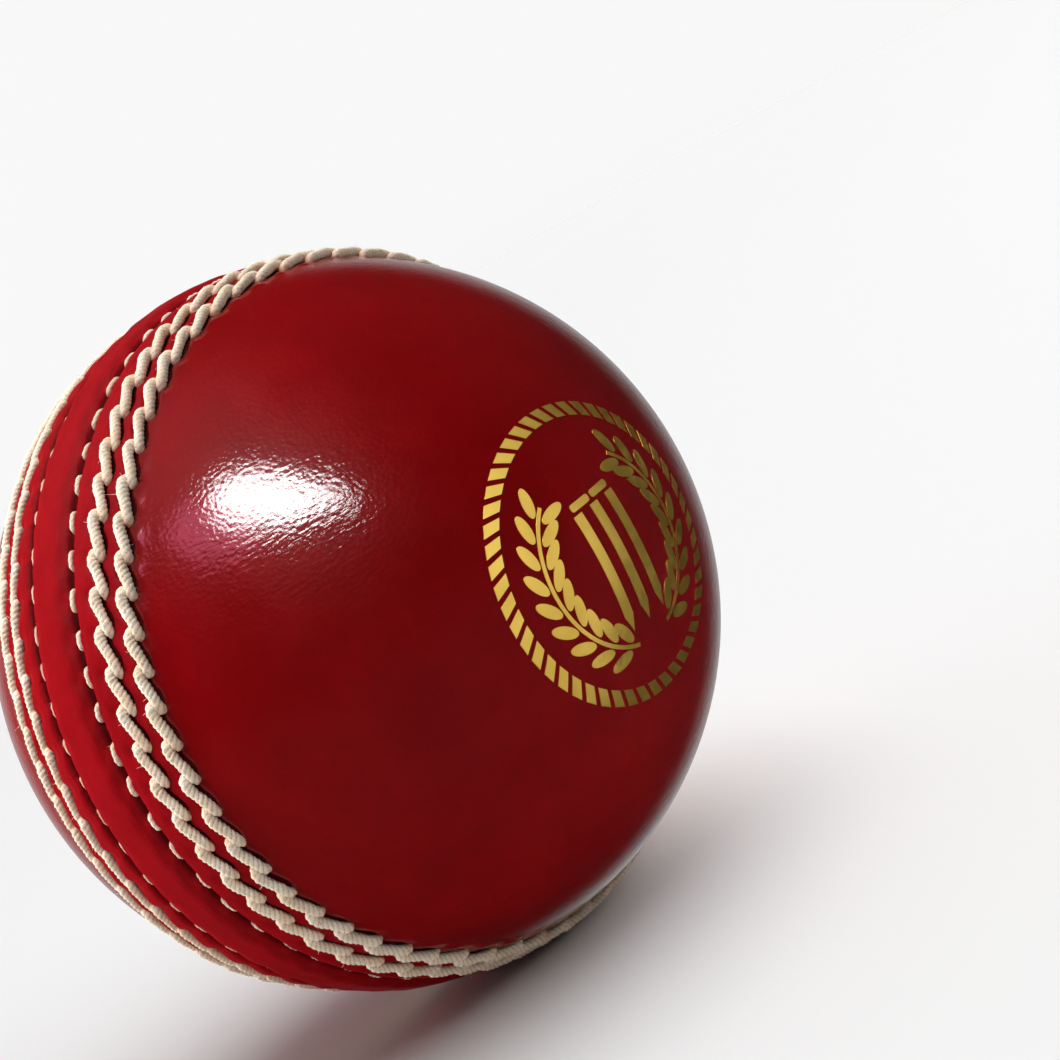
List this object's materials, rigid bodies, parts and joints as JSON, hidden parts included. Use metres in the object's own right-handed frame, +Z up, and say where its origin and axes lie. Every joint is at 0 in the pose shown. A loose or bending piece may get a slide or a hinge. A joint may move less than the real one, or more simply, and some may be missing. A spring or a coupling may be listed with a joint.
{
  "type": "cricket ball",
  "caption": "Hard red leather cricket ball with a raised hand-stitched seam, a layered cork and yarn core, and a gold emblem pressed on one side.",
  "frame": {"origin": "centre of the ball", "axes": "+Y along the ball's axis, from the middle of the stamped cup to the middle of the plain cup; the seam lies in the XZ plane; +Z up, with the ball resting on its seam"},
  "size_m": [0.0728, 0.0713, 0.0728],
  "materials": {
    "cork": "granular composite cork, matt",
    "yarn": "tightly wound worsted wool yarn",
    "leather": "dyed deep red, polished under a clear lacquer",
    "seam_thread": "waxed two-ply linen thread",
    "hidden_thread": "waxed linen thread",
    "gold_foil": "hot-pressed metallic gold foil"
  },
  "bodies": {
    "root": {"cork_nucleus": "cork", "yarn_winding_1": "yarn", "yarn_winding_2": "yarn", "yarn_winding_3": "yarn", "yarn_winding_4": "yarn", "yarn_winding_5": "yarn", "cork_layer_1": "cork", "cork_layer_2": "cork", "cork_layer_3": "cork", "cork_layer_4": "cork", "stamped_cup_left_quarter": "leather", "stamped_cup_right_quarter": "leather", "plain_cup_lower_quarter": "leather", "plain_cup_upper_quarter": "leather", "stamped_cup_hidden_stitching": "hidden_thread", "plain_cup_hidden_stitching": "hidden_thread", "lip_closing_thread": "seam_thread", "stamped_side_inner_seam_thread": "seam_thread", "stamped_side_outer_seam_thread": "seam_thread", "plain_side_inner_seam_thread": "seam_thread", "plain_side_outer_seam_thread": "seam_thread", "gold_foil_stamp": "gold_foil"}
  },
  "joints": []
}
